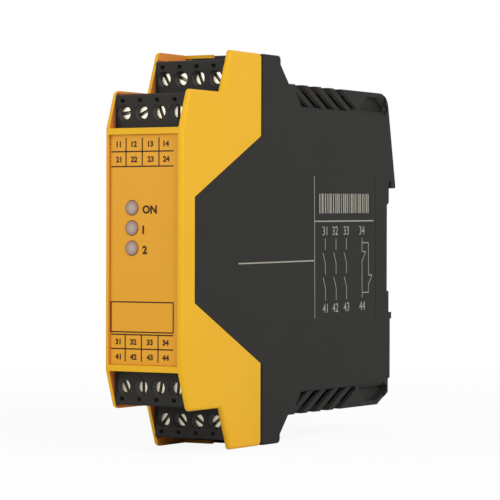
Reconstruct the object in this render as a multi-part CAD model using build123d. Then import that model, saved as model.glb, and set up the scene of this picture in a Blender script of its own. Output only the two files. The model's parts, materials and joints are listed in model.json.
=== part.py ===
from build123d import *
import os

# Narrow safety relay module for a 35 mm top-hat rail, in millimetres.
# The front faces -Y, the width runs along X and the height along Z.
# The origin is the centre of the rail seat: the plane that rests on the rail, at the rail's centre line.
# Lengths called depth are counted from the front panel, and the writer moves each piece back to the origin.

# Driving dimensions

# Outer box
width = 22.5
shoulder_height = 49.55
seat_depth = 107.2
cover_wall = 1.3
housing_wall = 1.5
cover_rim_radius = 0.9
housing_rim_radius = 0.4

# Terminal plugs, two rows above and two below: the lower half mirrors the upper one
poles = 4
plug_end_trim = 0.3
plug_gap = 0.1
plug_height = 8.2
plug_length = 16.8
plug_edge_radius = 0.4
plug_rib_rise = 0.45
plug_rib_start = 5.0
plug_rib_end = 14.6
plug_front = 2.75
row_rise = 9.2
row_setback = 18.1
screw_height = 3.75
bore_wall = 1.1
head_gap = 0.25
head_thickness = 1.6
head_sunk = 1.5
head_edge_radius = 0.25
slot_width = 0.9
slot_depth = 0.8
head_overhang = 0.45
tip_chamfer = 0.3
thread_pitch = 0.45
turns = 5
running_gap = 0.05
test_hole_width = 1.2
test_hole_height = 0.9
test_hole_side = -0.45
test_hole_rise = 3.0
test_hole_depth = 2.4
entry_inset = 0.35
entry_length = 3.2
entry_flare = 0.5
cell_side_wall = 0.45
cell_wall = 1.0
cell_foot_gap = 0.25

# Stepped side outline
front_plug_cover = 1.06
rear_plug_cover = 2.45
step_depth = 3.4
second_step_depth = 18.4
shoulder_depth = 22.46
cover_end = 37.8
step_radius = 1.5
shoulder_radius = 1.2
window_front = 5.54
window_half_height = 12.85
window_rear_drop = 0.6
joint_gap = 0.1
lip_height = 0.9
lip_length = 1.4
lip_setback = 1.3
lip_spacing = 4.3

# Front panel
panel_thickness = 1.8
return_length = 6.7
label_recess = 1.0
label_thickness = 0.2
label_left_margin = 1.1
label_right_margin = 1.5
label_end_margin = 1.55
label_gap = 0.1
lens_diameter = 3.6
lens_height = 5.3
lens_pitch = 4.9
lens_inset = 7.45
lens_length = 7.2
lens_proud = 0.25
guide_bridge = 1.4
lenses = 3

# Clamp cages and contacts
cage_height = 5.2
cage_front_wall = 1.0
cage_rear_wall = 0.8
cage_side_wall = 0.6
cage_window = 4.2
cage_gap = 0.1
bar_thickness = 0.8
bar_side_gap = 0.15
bar_drop = 0.7
bar_setback = 0.9
bar_top_gap = 0.4
socket_side_wall = 0.75
socket_height = 2.6
socket_length = 3.4
socket_drop = 0.35
socket_floor = 0.3
socket_sunk = 0.3
pin_size = 1.0
pin_reach = 3.0

# Headers behind the plugs
header_length = 7.6
header_gap = 0.2
shelf_thickness = 0.75
shelf_lap = 0.6
pin_turn_gap = 2.5
pin_stagger = 1.7
pin_tail = 0.7
pin_hole_gap = 0.2

# Rear housing
shoulder_end = 47.3
shoulder_drop = 2.2
deck_start = 51.6
deck_drop = 6.85
band_drop = 5.9
band_recess = 0.4
band_front_low = 58.2
band_front_high = 52.4
band_rim = 2.2
vent_pitch = 6.95
vent_width = 3.9
vent_slant = 11.0
vent_first = 58.6
vent_reach = 2.6
vent_sill = 0.3
vent_edge = 0.5
vent_rib = 2.0
pocket_length_high = 12.3
pocket_length_low = 17.0
pocket_depth = 1.6
pocket_rim = 1.2
pocket_sill = 0.7
tongue_wall = 1.1
tongue_root = 2.0
rear_corner_radius = 4.5
rear_top_setback = 0.8
rear_chamfer = 6.0
rear_chamfer_height = 3.0
mark_recess = 0.05
mark_front = 25.5
mark_rear = 99.5
mark_half_height = 20.0

# Rail seat, hook and latch
rail_width = 35.0
rail_thickness = 1.0
rail_gap = 0.15
seat_relief = 1.1
upper_pad = 4.0
lower_pad = 6.0
upper_pad_slope = 0.7
lower_pad_slope = 0.3
hook_thickness = 3.0
hook_grip = 0.75
hook_groove = 1.2
hook_rise = 0.2
hook_bevel = 0.5
heel_depth = 0.8
heel_end = 3.9
heel_slope = 0.3
heel_nose = 0.8
heel_nose_height = 1.8
latch_sunk = 1.0
latch_width = 10.0
latch_flange = 1.5
latch_flange_thickness = 2.0
latch_thickness = 5.0
latch_gap = 0.2
latch_rail_gap = 0.1
latch_stop_gap = 0.3
latch_roof = 2.5
latch_lip = 2.4
latch_lip_flat = 1.08
latch_lip_slope = 1.5
latch_lip_root = 3.2
latch_grip = 1.2
latch_head = 4.4
latch_foot_sunk = 0.9
latch_foot_wall = 1.0
latch_slot_width = 5.0
latch_slot_height = 1.6
latch_land = 2.2
spring_diameter = 3.2
spring_wire = 0.45
spring_turns = 6
spring_seat = 1.6
spring_seat_gap = 0.4
spring_side_gap = 0.3
spring_end_gap = 0.02
peg_sunk = 1.6

# Electronics
board_thickness = 1.6
board_standoff = 1.75
board_gap = 1.2
boss_diameter = 4.0
front_boss_setback = 8.4
rear_boss_inset = 2.4
boss_drop = 9.7
part_gap = 1.5
relay_length = 40.0
relay_width = 13.0
relay_roof_gap = 1.15
relay_spacing = 17.0
relay_rear_gap = 5.5
relay_edge_radius = 0.8
transformer_length = 16.0
transformer_roof_gap = 4.15
transformer_stack = 11.0
transformer_setback = 12.4
bobbin_inset = 3.0
bobbin_drop = 2.0
bobbin_rise = 1.6
capacitor_diameter = 10.0
capacitor_roof_gap = 2.15
capacitor_edge_radius = 0.6
chip_thickness = 1.5
chip_columns = 3
chip_length = 5.0
chip_width = 4.0
chip_rise = 14.0
controller_size = 9.0
led_size = 3.0
led_gap = 0.2
led_step = 0.9
led_depth = 4.0

# Cuts run this far past what they cut, and joined blocks reach this far into their walls.
over = 1.0
weld = 0.3
tol = 1e-3

# Values that follow from them
half_width = width / 2
inner_half = half_width - cover_wall
plug_half = inner_half - plug_gap
cavity_half = half_width - housing_wall
tongue_half = inner_half - joint_gap
tongue_inner = tongue_half - tongue_wall
label_left = label_left_margin - half_width
label_right = half_width - label_right_margin
lens_side = lens_inset - half_width
pitch = (2 * plug_half + plug_end_trim) / poles
bore_diameter = pitch - bore_wall
head_diameter = bore_diameter - 2 * head_gap
shank_diameter = head_diameter - 2 * head_overhang
cell_width = pitch - 2 * cell_side_wall
entry_width = cell_width - 2 * entry_inset
cage_width = cell_width - 2 * cage_gap
bar_width = cage_width - 2 * (cage_side_wall + bar_side_gap)
socket_width = cell_width - 2 * socket_side_wall
plug_bottom = shoulder_height - rear_plug_cover - plug_height - row_rise
bezel_half_height = plug_bottom - plug_gap
step_height = plug_bottom + plug_height + front_plug_cover
window_rear_half_height = bezel_half_height - window_rear_drop
cage_travel = thread_pitch * turns
cage_length = cage_front_wall + cage_window + cage_rear_wall
bore_floor = head_sunk + head_thickness + running_gap
cell_front = bore_floor + cell_wall
cage_front = cell_front + cage_travel + cage_gap
bar_front = cage_front + cage_front_wall + bar_setback
pole_sides = [(k - (poles - 1) / 2) * pitch for k in range(poles)]
pin_drop = cage_height / 2 + bar_drop - socket_height / 2 + socket_drop
shelf_depth = plug_front + plug_length + header_gap + header_length
rear_shelf_depth = shelf_depth + row_setback
shelf_under = plug_bottom + row_rise - shelf_thickness - housing_wall
deck_height = shoulder_height - deck_drop
deck_under = deck_height - housing_wall
band_height = deck_height - band_drop
pocket_front_high = seat_depth - pocket_length_high
pocket_slope = (rear_chamfer - pocket_rim) * rear_chamfer_height / rear_chamfer
pocket_front_low = seat_depth - pocket_length_low
vents = int((pocket_front_low - vent_rib - vent_first) / vent_pitch) + 1
rail_half = rail_width / 2
hook_near = seat_depth + rail_thickness + rail_gap
hook_far = hook_near + hook_thickness
latch_far = seat_depth - latch_sunk
latch_near = latch_far - latch_thickness
latch_wall = latch_near - latch_gap - housing_wall
latch_top = -rail_half - latch_rail_gap
latch_bottom = latch_foot_sunk - deck_height
slot_low = latch_bottom + latch_foot_wall
window_low = slot_low + latch_slot_height + latch_land
spring_low = window_low + spring_seat_gap + spring_seat
spring_top = latch_top - latch_head
board_side = board_standoff - cavity_half
board_face = board_side + board_thickness
board_room = cavity_half - board_face
relay_front = latch_wall - relay_rear_gap - relay_length
relay_reach = (relay_spacing + relay_width) / 2
pocket_middle = (relay_reach + deck_under) / 2


def block(x_range, y_range, z_range):
    """Box between three pairs of limits."""
    limits = (x_range, y_range, z_range)
    size = [max(pair) - min(pair) for pair in limits]
    middle = [(a + b) / 2 for a, b in limits]
    return Pos(*middle) * Box(*size)


def around(middle, size):
    """Pair of limits on both sides of a middle."""
    return middle - size / 2, middle + size / 2


def side_plate(points, x_range):
    """Outline in depth and height, carried across from one X to another."""
    face = make_face(Polyline(*points, close=True))
    return extrude(Plane.YZ.offset(x_range[0]) * face, x_range[1] - x_range[0])


def both_ways(points):
    """Closes an upper half outline with its mirror image below."""
    return points + [(y, -z) for y, z in reversed(points)]


def rod(diameter, y_range, x=0.0, z=0.0):
    """Round bar along Y."""
    length = y_range[1] - y_range[0]
    return Pos(x, y_range[0], z) * Rot(-90, 0, 0) * Cylinder(
        diameter / 2, length, align=(Align.CENTER, Align.CENTER, Align.MIN)
    )


def round_edges(part, radius, wanted):
    """Fillets the edges along X whose middle lies at one of the wanted depths and heights."""
    edges = [
        e for e in part.edges().filter_by(Axis.X)
        if any(abs(e.center().Y - y) < tol and abs(abs(e.center().Z) - z) < tol for y, z in wanted)
    ]
    return fillet(edges, radius)


def round_rims(part, radius, wanted):
    """Fillets the outline edges of the two flat sides whose middle passes a test on depth and height."""
    edges = [
        e for e in part.edges()
        if all(abs(abs(v.X) - half_width) < tol for v in e.vertices())
        and abs(abs(e.center().X) - half_width) < tol
        and wanted(e.center().Y, abs(e.center().Z))
    ]
    return fillet(edges, radius)


def mirrored(part):
    """The same part below the middle."""
    return mirror(part, about=Plane.XY)


def window_outline(gap):
    """Upper half of the edge where the cover's side walls end, moved back by a gap."""
    return [
        (window_front + gap, window_half_height - gap / 2),
        (cover_end + gap, window_rear_half_height - gap / 2),
    ]


def make_front_cover():
    """Bezel with its label recess, and two stepped side walls joined by a return above and below."""
    outline = [
        (0, bezel_half_height), (step_depth, step_height), (second_step_depth, step_height),
        (shoulder_depth, shoulder_height), (cover_end, shoulder_height),
    ]
    body = side_plate(both_ways(outline), (-half_width, half_width))
    body = round_edges(body, step_radius, [(step_depth, step_height)])
    corners = [(cover_end, shoulder_height), (shoulder_depth, shoulder_height)]
    body = round_edges(body, shoulder_radius, corners)
    body = round_rims(body, cover_rim_radius, lambda y, z: y < cover_end - tol)
    # The room between the side walls, above and below the bezel, is open for the plugs.
    reach = shoulder_height + over
    for side in (1, -1):
        z_range = sorted((side * bezel_half_height, side * reach))
        body -= block((-inner_half, inner_half), (-over, cover_end + over), z_range)
    # The room behind the panel takes the tongue of the rear housing.
    hollow = bezel_half_height - cover_wall
    body -= block((-inner_half, inner_half), (panel_thickness, cover_end + over), (-hollow, hollow))
    # The returns end where the housing's own roof goes on.
    body -= block(
        (-inner_half, inner_half), (panel_thickness + return_length, cover_end + over),
        (-bezel_half_height - tol, bezel_half_height + tol),
    )
    # The side walls are cut away at mid height, where the black housing shows.
    notch = window_outline(0) + [(cover_end + over, window_rear_half_height)]
    body -= side_plate(both_ways(notch), (-half_width - over, half_width + over))
    label_top = bezel_half_height - label_end_margin
    body -= block((label_left, label_right), (-over, label_recess), (-label_top, label_top))
    for z in lens_heights():
        body -= rod(lens_diameter + 2 * label_gap, (-over, panel_thickness + over), lens_side, z)
    return body + make_lips()


def make_lips():
    """Short lips between the side walls, over the rear plugs, with a space in the middle of each pair."""
    rear = cover_end - lip_setback
    lip = block(
        (lip_spacing / 2, inner_half + weld), (rear - lip_length, rear),
        (shoulder_height - lip_height, shoulder_height),
    )
    lip += mirror(lip, about=Plane.YZ)
    return lip + mirrored(lip)


def lens_heights():
    """Heights of the round lenses."""
    return [lens_height + (k - (lenses - 1) / 2) * lens_pitch for k in range(lenses)]


def make_front_label():
    """Printed film in the recess, with a hole for each lens."""
    top = bezel_half_height - label_end_margin - label_gap
    x_range = (label_left + label_gap, label_right - label_gap)
    film = block(x_range, (label_recess - label_thickness, label_recess), (-top, top))
    for z in lens_heights():
        film -= rod(lens_diameter + 2 * label_gap, (-over, panel_thickness), lens_side, z)
    return film


def make_light_guide():
    """Clear rods through the panel, joined by a bridge behind it."""
    heights = lens_heights()
    guide = block(
        around(lens_side, lens_diameter), (panel_thickness, panel_thickness + guide_bridge),
        (heights[0] - lens_diameter / 2, heights[-1] + lens_diameter / 2),
    )
    for z in heights:
        lens = rod(lens_diameter, (label_recess - label_thickness - lens_proud, lens_length), lens_side, z)
        front = lens.edges().filter_by(GeomType.CIRCLE).sort_by(Axis.Y)[0]
        guide += fillet(front, lens_proud)
    return guide


def row_origin(row):
    """Depth of a plug's front and height of its screw line, for the front row or the rear row."""
    return plug_front + row * row_setback, plug_bottom + screw_height + row * row_rise


def make_plug_body(row):
    """Black terminal plug: screw bores in front, wire funnels above and a cell for each clamp."""
    front, axis = row_origin(row)
    bottom = axis - screw_height
    top = bottom + plug_height
    rib_top = top + plug_rib_rise
    body = block((-plug_half, plug_half), (front, front + plug_length), (bottom, top))
    edge = body.edges().filter_by(Axis.X).sort_by(Axis.Y)[0:2].sort_by(Axis.Z)[-1]
    body = fillet(edge, plug_edge_radius)
    body += block((-plug_half, plug_half), (front + plug_rib_start, front + plug_rib_end), (top, rib_top))
    cell_bottom = axis - cage_height / 2 - bar_drop - cage_gap - cell_foot_gap
    cell_top = axis + cage_height / 2 + cage_gap
    cell_rear = front + cage_front + cage_length + cage_gap
    entry_middle = front + bar_front + bar_thickness + entry_length / 2
    for x in pole_sides:
        body -= rod(bore_diameter, (front - over, front + bore_floor), x, axis)
        body -= rod(shank_diameter + 2 * running_gap, (front, front + cell_front + over), x, axis)
        body -= block(around(x, cell_width), (front + cell_front, cell_rear), (cell_bottom, cell_top))
        entry = around(entry_middle, entry_length)
        body -= block(around(x, entry_width), entry, (cell_top - over, rib_top + over))
        mouth = Pos(x, entry_middle, rib_top) * Rectangle(
            entry_width + 2 * entry_flare, entry_length + 2 * entry_flare
        )
        throat = Pos(x, entry_middle, rib_top - 2 * entry_flare) * Rectangle(entry_width, entry_length)
        body -= loft([throat, mouth])
        body -= block(
            around(x + test_hole_side, test_hole_width), (front - over, front + test_hole_depth),
            around(axis + test_hole_rise, test_hole_height),
        )
        body -= contact_room(front, axis, x)
    return body


def contact_room(front, axis, x):
    """Channel in a plug for one contact's tail and socket, open at the plug's rear."""
    return block(
        around(x, socket_width + 2 * running_gap), (front + cage_front, front + plug_length + over),
        around(axis - pin_drop, socket_height + 2 * running_gap),
    )


def make_plug_contacts(row):
    """Current bars: each stands in its cage, runs back below it and ends in a pin socket."""
    front, axis = row_origin(row)
    near = front + bar_front
    rear = front + plug_length - socket_sunk
    level = axis - pin_drop
    low = axis - cage_height / 2 - bar_drop
    high = axis + cage_height / 2 - bar_top_gap
    group = []
    for x in pole_sides:
        bar = block(around(x, bar_width), (near, near + bar_thickness), (low, high))
        bar += block(around(x, bar_width), (near, rear), (low, low + bar_drop - cage_gap))
        bar += block(around(x, socket_width), (rear - socket_length, rear), around(level, socket_height))
        hole = pin_size + 2 * running_gap
        hole_front = rear - socket_length + socket_floor
        bar -= block(around(x, hole), (hole_front, rear + over), around(level, hole))
        group.append(bar)
    return Compound(group)


def make_screw(row, x, angle):
    """Slotted clamp screw with its slot turned to an angle."""
    front, axis = row_origin(row)
    head_front = front + head_sunk
    head = rod(head_diameter, (head_front, head_front + head_thickness))
    rim = head.edges().filter_by(GeomType.CIRCLE).sort_by(Axis.Y)[0]
    head = fillet(rim, head_edge_radius)
    slot = block(
        (-head_diameter, head_diameter), (head_front - over, head_front + slot_depth), around(0, slot_width)
    )
    shank = rod(shank_diameter, (head_front + head_thickness, front + bar_front - running_gap))
    screw = head - slot + shank
    tip = screw.edges().filter_by(GeomType.CIRCLE).sort_by(Axis.Y)[-1]
    screw = chamfer(tip, tip_chamfer)
    return Pos(x, 0, axis) * Rot(0, -angle, 0) * screw


def make_cage(row, x):
    """Rising clamp cage: a rectangular ring around the current bar, with the screw's hole in front."""
    front, axis = row_origin(row)
    near = front + cage_front
    far = near + cage_length
    cage = block(around(x, cage_width), (near, far), around(axis, cage_height))
    cage -= block(
        around(x, cage_width - 2 * cage_side_wall), (near + cage_front_wall, far - cage_rear_wall),
        around(axis, cage_height + 2 * over),
    )
    through = (near - over, near + cage_front_wall + over)
    return cage - rod(shank_diameter + 2 * running_gap, through, x, axis)


def make_header(row):
    """Pin carrier behind a plug, with a square hole for each pin."""
    front, axis = row_origin(row)
    near = front + plug_length + header_gap
    bottom = axis - screw_height
    body = block((-plug_half, plug_half), (near, near + header_length), (bottom, bottom + plug_height))
    through = (near - over, near + header_length + over)
    for x in pole_sides:
        body -= block(around(x, pin_size), through, around(axis - pin_drop, pin_size))
    return body


def pin_level(row):
    """Height at which a row's pins come out of their header."""
    return row_origin(row)[1] - pin_drop


def pin_turn(row):
    """Depth at which a row's pins turn down to the board."""
    return shelf_depth + row * row_setback + housing_wall + pin_turn_gap


def pin_foot(row, k):
    """Height at which a pole's pin goes across to the board, highest for the pole nearest to it."""
    return pin_level(row) - (k + 1) * pin_stagger


def make_pins():
    """Header pins: straight into the plug, then down and across to the board."""
    group = []
    half = pin_size / 2
    for row in (0, 1):
        start = row_origin(row)[0] + plug_length - socket_sunk - pin_reach
        level = pin_level(row)
        turn = pin_turn(row)
        for k, x in enumerate(pole_sides):
            foot = pin_foot(row, k)
            pin = block(around(x, pin_size), (start, turn + half), around(level, pin_size))
            pin += block(around(x, pin_size), around(turn, pin_size), (foot - half, level + half))
            pin += block((board_side - pin_tail, x + half), around(turn, pin_size), around(foot, pin_size))
            group.append(pin)
            group.append(mirrored(pin))
    return Compound(group)


def cavity_outline():
    """Upper half of the room for the electronics, in depth and height."""
    first_wall = shelf_depth + housing_wall
    second_wall = rear_shelf_depth + housing_wall
    roof = bezel_half_height - housing_wall - joint_gap
    slope = (deck_height - shoulder_height + shoulder_drop) / (deck_start - shoulder_end)
    pocket_wall = pocket_front_low - housing_wall
    return [
        (0, roof), (first_wall, roof), (first_wall, shelf_under), (second_wall, shelf_under),
        (second_wall, deck_under + slope * (second_wall - deck_start)), (deck_start, deck_under),
        (pocket_wall, deck_under), (pocket_wall, band_height - housing_wall),
        (seat_depth - seat_relief - housing_wall, band_height - housing_wall),
    ]


def make_rear_housing():
    """Black box: flush side walls, shelves for the plugs, shoulder, vents, rail seat and hook."""
    upper = [
        (cover_end + joint_gap, shoulder_height), (shoulder_end, shoulder_height),
        (shoulder_end, shoulder_height - shoulder_drop), (deck_start, deck_height),
    ]
    rear_upper = [
        (seat_depth - rear_top_setback, deck_height), (hook_far, rail_half + hook_rise),
        (hook_far - hook_bevel, rail_half - hook_grip), (hook_near, rail_half - hook_grip),
        (hook_near, rail_half + hook_groove), (seat_depth, rail_half + hook_groove),
        (seat_depth, rail_half - hook_grip - upper_pad),
        (seat_depth - seat_relief, rail_half - hook_grip - upper_pad - upper_pad_slope),
    ]
    heel_low = deck_height - rear_chamfer_height - heel_end
    heel_rear = seat_depth + heel_depth
    rear_lower = [
        (seat_depth - seat_relief, -rail_half + lower_pad),
        (seat_depth, -rail_half + lower_pad - lower_pad_slope),
        (seat_depth, -rail_half), (heel_rear + heel_nose, -rail_half),
        (heel_rear + heel_nose, -rail_half - heel_nose_height), (heel_rear, -rail_half - heel_nose_height),
        (heel_rear, heel_slope - heel_low), (seat_depth, -heel_low),
        (seat_depth, rear_chamfer_height - deck_height), (seat_depth - rear_chamfer, -deck_height),
    ]
    front_edge = window_outline(joint_gap)
    lower = [(y, -z) for y, z in reversed(upper)]
    lower_front_edge = [(y, -z) for y, z in reversed(front_edge)]
    outline = front_edge + upper + rear_upper + rear_lower + lower + lower_front_edge
    body = side_plate(outline, (-half_width, half_width))
    body = round_edges(
        body, shoulder_radius, [(cover_end + joint_gap, shoulder_height), (shoulder_end, shoulder_height)]
    )
    upper_corner = [
        e for e in body.edges().filter_by(Axis.X)
        if abs(e.center().Y - seat_depth + rear_top_setback) < tol and abs(e.center().Z - deck_height) < tol
    ]
    body = fillet(upper_corner, rear_corner_radius)
    body = round_rims(
        body, housing_rim_radius, lambda y, z: z > band_height and y > cover_end + joint_gap + tol
    )
    body += make_shelves()
    # The shoulder is open in front, between the cover's walls, for the rear plugs and their headers.
    room_low = plug_bottom + row_rise - plug_gap
    room_high = plug_bottom + row_rise + plug_height + plug_gap
    for side in (1, -1):
        z_range = sorted((side * room_low, side * room_high))
        body -= block((-inner_half, inner_half), (cover_end - over, rear_shelf_depth), z_range)
    cavity = side_plate(both_ways(cavity_outline()), (-cavity_half, cavity_half))
    reach = (-shoulder_height, shoulder_height)
    root = cover_end + tongue_root
    body -= cavity & block((-cavity_half, cavity_half), (root, seat_depth), reach)
    body -= cavity & block((-tongue_inner, tongue_inner), (0, root + over), reach)
    body = latch_back_wall(body)
    body -= make_vents()
    body -= make_pin_holes()
    # The printed diagram lies in a shallow recess of the right side, clear of the next module.
    body -= block(
        (half_width - mark_recess, half_width + over), (mark_front, mark_rear),
        (-mark_half_height, mark_half_height),
    )
    for y, z in boss_places():
        boss = Pos(-cavity_half, y, z) * Rot(0, 90, 0) * Cylinder(
            boss_diameter / 2, board_standoff, align=(Align.CENTER, Align.CENTER, Align.MIN)
        )
        body += boss
    return body


def make_shelves():
    """Tongue that goes into the cover, and the shelves and walls around the plugs and headers."""
    tongue_top = bezel_half_height - cover_wall - joint_gap
    lip_low = plug_bottom + row_rise - shelf_thickness
    lip_front = plug_front + plug_length - shelf_lap
    shelf_top = plug_bottom + row_rise - plug_gap
    tongue_front = panel_thickness + joint_gap
    return_end = panel_thickness + return_length + joint_gap
    back = rear_shelf_depth + housing_wall
    points = [
        (tongue_front, tongue_top), (return_end, tongue_top), (return_end, bezel_half_height),
        (shelf_depth, bezel_half_height), (shelf_depth, lip_low), (lip_front, lip_low),
        (lip_front, shelf_top), (back, shelf_top), (back, 0), (tongue_front, 0),
    ]
    half = side_plate(points, (-tongue_half, tongue_half))
    return half + mirrored(half)


def latch_back_wall(body):
    """Rear wall block that carries the latch channel, the channel itself and the spring's peg."""
    channel_front = latch_near - latch_gap
    channel_foot = -deck_height - over
    channel_top = latch_top + latch_stop_gap
    body += block(
        (-cavity_half, cavity_half), (latch_wall, seat_depth - seat_relief),
        (-band_height, latch_top + latch_roof),
    )
    web = latch_width + 2 * latch_gap
    flange_rear = latch_near + latch_flange_thickness + latch_gap
    z_range = (channel_foot, channel_top)
    body -= block(around(0, web + 2 * latch_flange), (channel_front, flange_rear), z_range)
    body -= block(around(0, web), (channel_front, seat_depth + heel_depth + heel_nose + over), z_range)
    return body + block(
        around(0, spring_diameter), (channel_front - weld, seat_depth - peg_sunk),
        (spring_low - spring_seat, spring_low),
    )


def make_latch():
    """Sliding foot: a T shaped plate with a window for its spring and a lip that grips the rail."""
    flanges = latch_width + 2 * latch_flange - 2 * latch_gap
    z_range = (latch_bottom, latch_top)
    plate = block(around(0, flanges), (latch_near, latch_near + latch_flange_thickness), z_range)
    plate += block(around(0, latch_width), (latch_near, latch_far), z_range)
    lip_top = latch_grip - rail_half
    root = latch_top - latch_lip_root
    lip = [
        (latch_far - weld, latch_top), (hook_near, latch_top), (hook_near, lip_top),
        (hook_near + latch_lip_flat, lip_top), (hook_near + latch_lip, latch_top - latch_lip_slope),
        (hook_near + latch_lip, root), (latch_far - weld, root),
    ]
    plate += side_plate(lip, around(0, latch_width))
    through = (latch_near - over, latch_far + over)
    plate -= block(around(0, spring_diameter + 2 * spring_side_gap), through, (window_low, spring_top))
    # A screwdriver goes through the slot at the foot to pull the latch down.
    return plate - block(around(0, latch_slot_width), through, (slot_low, slot_low + latch_slot_height))


def make_spring():
    """Compression spring between the housing's peg and the top of the latch's window."""
    height = spring_top - spring_low - spring_wire - 2 * spring_end_gap
    path = Helix(height / spring_turns, height, (spring_diameter - spring_wire) / 2)
    section = Plane(origin=path @ 0, z_dir=path % 0) * Circle(spring_wire / 2)
    coil = sweep(section, path=path, is_frenet=True)
    return Pos(0, (latch_near + latch_far) / 2, spring_low + spring_wire / 2 + spring_end_gap) * coil


def make_vents():
    """Slanted vent slots in the four long corners, the shallow band they lie in and the rear pockets."""
    high = deck_height + over
    band = [
        (band_front_low, band_height), (seat_depth - band_rim, band_height),
        (seat_depth - band_rim, high), (band_front_high, high),
    ]
    pocket_low = band_height + pocket_sill
    pocket_high = deck_height - pocket_rim
    pocket = [
        (pocket_front_low, pocket_low), (seat_depth - pocket_rim, pocket_low),
        (seat_depth - pocket_rim, pocket_high - pocket_slope), (seat_depth - rear_chamfer, pocket_high),
        (pocket_front_high, pocket_high),
    ]
    cut = side_plate(band, (half_width - band_recess, half_width + over))
    cut += side_plate(pocket, (half_width - pocket_depth, half_width + over))
    vent_low = band_height + vent_sill
    lean = vent_slant / band_drop * (high - vent_low)
    slot_range = (half_width - vent_reach, half_width + over)
    # The slots lean forward as they rise, and end at the band's front edge and at the rib before the pocket.
    field = side_plate([
        (band_front_low + vent_edge, vent_low), (pocket_front_low - vent_rib, vent_low),
        (pocket_front_high - vent_rib, high), (band_front_high + vent_edge, high),
    ], slot_range)
    for k in range(vents):
        foot = vent_first + k * vent_pitch
        outline = [
            (foot, vent_low), (foot + vent_width, vent_low),
            (foot - lean + vent_width, high), (foot - lean, high),
        ]
        cut += side_plate(outline, slot_range) & field
    cut += mirrored(cut)
    return cut + mirror(cut, about=Plane.YZ)


def make_pin_holes():
    """Holes in the walls behind the headers for the pins."""
    cut = []
    size = pin_size + 2 * pin_hole_gap
    for row in (0, 1):
        near = shelf_depth + row * row_setback
        for x in pole_sides:
            hole = block(
                around(x, size), (near - over, near + housing_wall + over), around(pin_level(row), size)
            )
            cut.append(hole)
            cut.append(mirrored(hole))
    return cut


def board_back():
    """Depth of the board's rear edge."""
    return latch_wall - 2 * board_gap


def boss_places():
    """Depth and height of the bosses that carry the board."""
    front = (deck_start + front_boss_setback, deck_height - boss_drop)
    rear = (board_back() - rear_boss_inset, band_height - boss_drop)
    return [(y, side * z) for y, z in (front, rear) for side in (1, -1)]


def board_outline():
    """Upper half of the board's outline."""
    first = shelf_depth + housing_wall + board_gap
    second = rear_shelf_depth + housing_wall + board_gap
    roof = bezel_half_height - housing_wall - joint_gap - board_gap
    pocket_wall = pocket_front_low - housing_wall - board_gap
    pocket_roof = band_height - housing_wall - board_gap
    return [
        (lens_length + board_gap, roof), (first, roof), (first, shelf_under - board_gap),
        (second, shelf_under - board_gap), (second, deck_under - board_gap),
        (pocket_wall, deck_under - board_gap), (pocket_wall, pocket_roof), (board_back(), pocket_roof),
    ]


def make_board():
    """Circuit board along the left wall, with a square hole for each header pin."""
    board = side_plate(both_ways(board_outline()), (board_side, board_face))
    half = pin_size / 2
    for row in (0, 1):
        turn = pin_turn(row)
        holes = [
            block((-half_width, 0), around(turn, pin_size), around(pin_foot(row, k), pin_size))
            for k in range(poles)
        ]
        # The first pole's pin comes down in the board's own plane, so it has a notch in the board's edge.
        holes.append(block(
            (-half_width, 0), (turn - pin_turn_gap, turn + half),
            (pin_foot(row, 0) - half, pin_level(row) + half),
        ))
        for hole in holes:
            board -= hole
            board -= mirrored(hole)
    return board


def on_board(y_range, z_range, height):
    """Box that stands on the board."""
    return block((board_face, board_face + height), y_range, z_range)


def make_relay(side):
    """Sealed relay with guided contacts."""
    z_range = around(side * relay_spacing / 2, relay_width)
    body = on_board((relay_front, relay_front + relay_length), z_range, board_room - relay_roof_gap)
    edges = body.faces().sort_by(Axis.X)[-1].edges()
    return fillet(edges, relay_edge_radius)


def make_transformer():
    """Small supply transformer: core with its wound bobbin through the window."""
    front = deck_start + transformer_setback
    height = board_room - transformer_roof_gap
    core = on_board((front, front + transformer_length), around(pocket_middle, transformer_stack), height)
    bobbin = on_board(
        (front + bobbin_inset, front + transformer_length - bobbin_inset),
        around(pocket_middle, transformer_stack + 2 * bobbin_rise), height - bobbin_drop,
    )
    return core + bobbin


def make_capacitors():
    """Two electrolytic capacitors standing on the board behind the rear row's pins."""
    first = pin_turn(1) + (pin_size + capacitor_diameter) / 2 + part_gap
    group = []
    for k in range(2):
        y = first + k * (capacitor_diameter + part_gap)
        can = Pos(board_face, y, -pocket_middle) * Rot(0, 90, 0) * Cylinder(
            capacitor_diameter / 2, board_room - capacitor_roof_gap,
            align=(Align.CENTER, Align.CENTER, Align.MIN),
        )
        rim = can.edges().filter_by(GeomType.CIRCLE).sort_by(Axis.X)[-1]
        group.append(fillet(rim, capacitor_edge_radius))
    return Compound(group)


def make_chips():
    """Controller in the middle and two lines of small packages, between the diodes and the relays."""
    room_start = lens_length + led_gap + led_depth
    step = (relay_front - room_start) / chip_columns
    columns = [room_start + (k + 0.5) * step for k in range(chip_columns)]
    group = [
        on_board(around(y, chip_length), around(side * chip_rise, chip_width), chip_thickness)
        for y in columns for side in (1, -1)
    ]
    middle = columns[chip_columns // 2]
    group.append(on_board(around(middle, controller_size), around(0, controller_size), chip_thickness))
    return Compound(group)


def make_leds():
    """Right-angle light emitting diodes on the board, one behind each rod of the light guide."""
    front = lens_length + led_gap
    rear = front + led_depth
    group = []
    foot = lens_side - led_size / 2 - board_face
    for z in lens_heights():
        base = on_board((front + led_step, rear), around(z, led_size), foot)
        group.append(base + block(around(lens_side, led_size), (front, rear), around(z, led_size)))
    return Compound(group)


# Slot angles of the screws, from each plug's left pole to its right, in degrees
slot_angles = {
    "top_front": (8, 25, -68, 90),
    "top_rear": (-60, -25, -68, -48),
    "bottom_front": (-65, 90, 80, 85),
    "bottom_rear": (50, -48, -32, 40),
}


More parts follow.
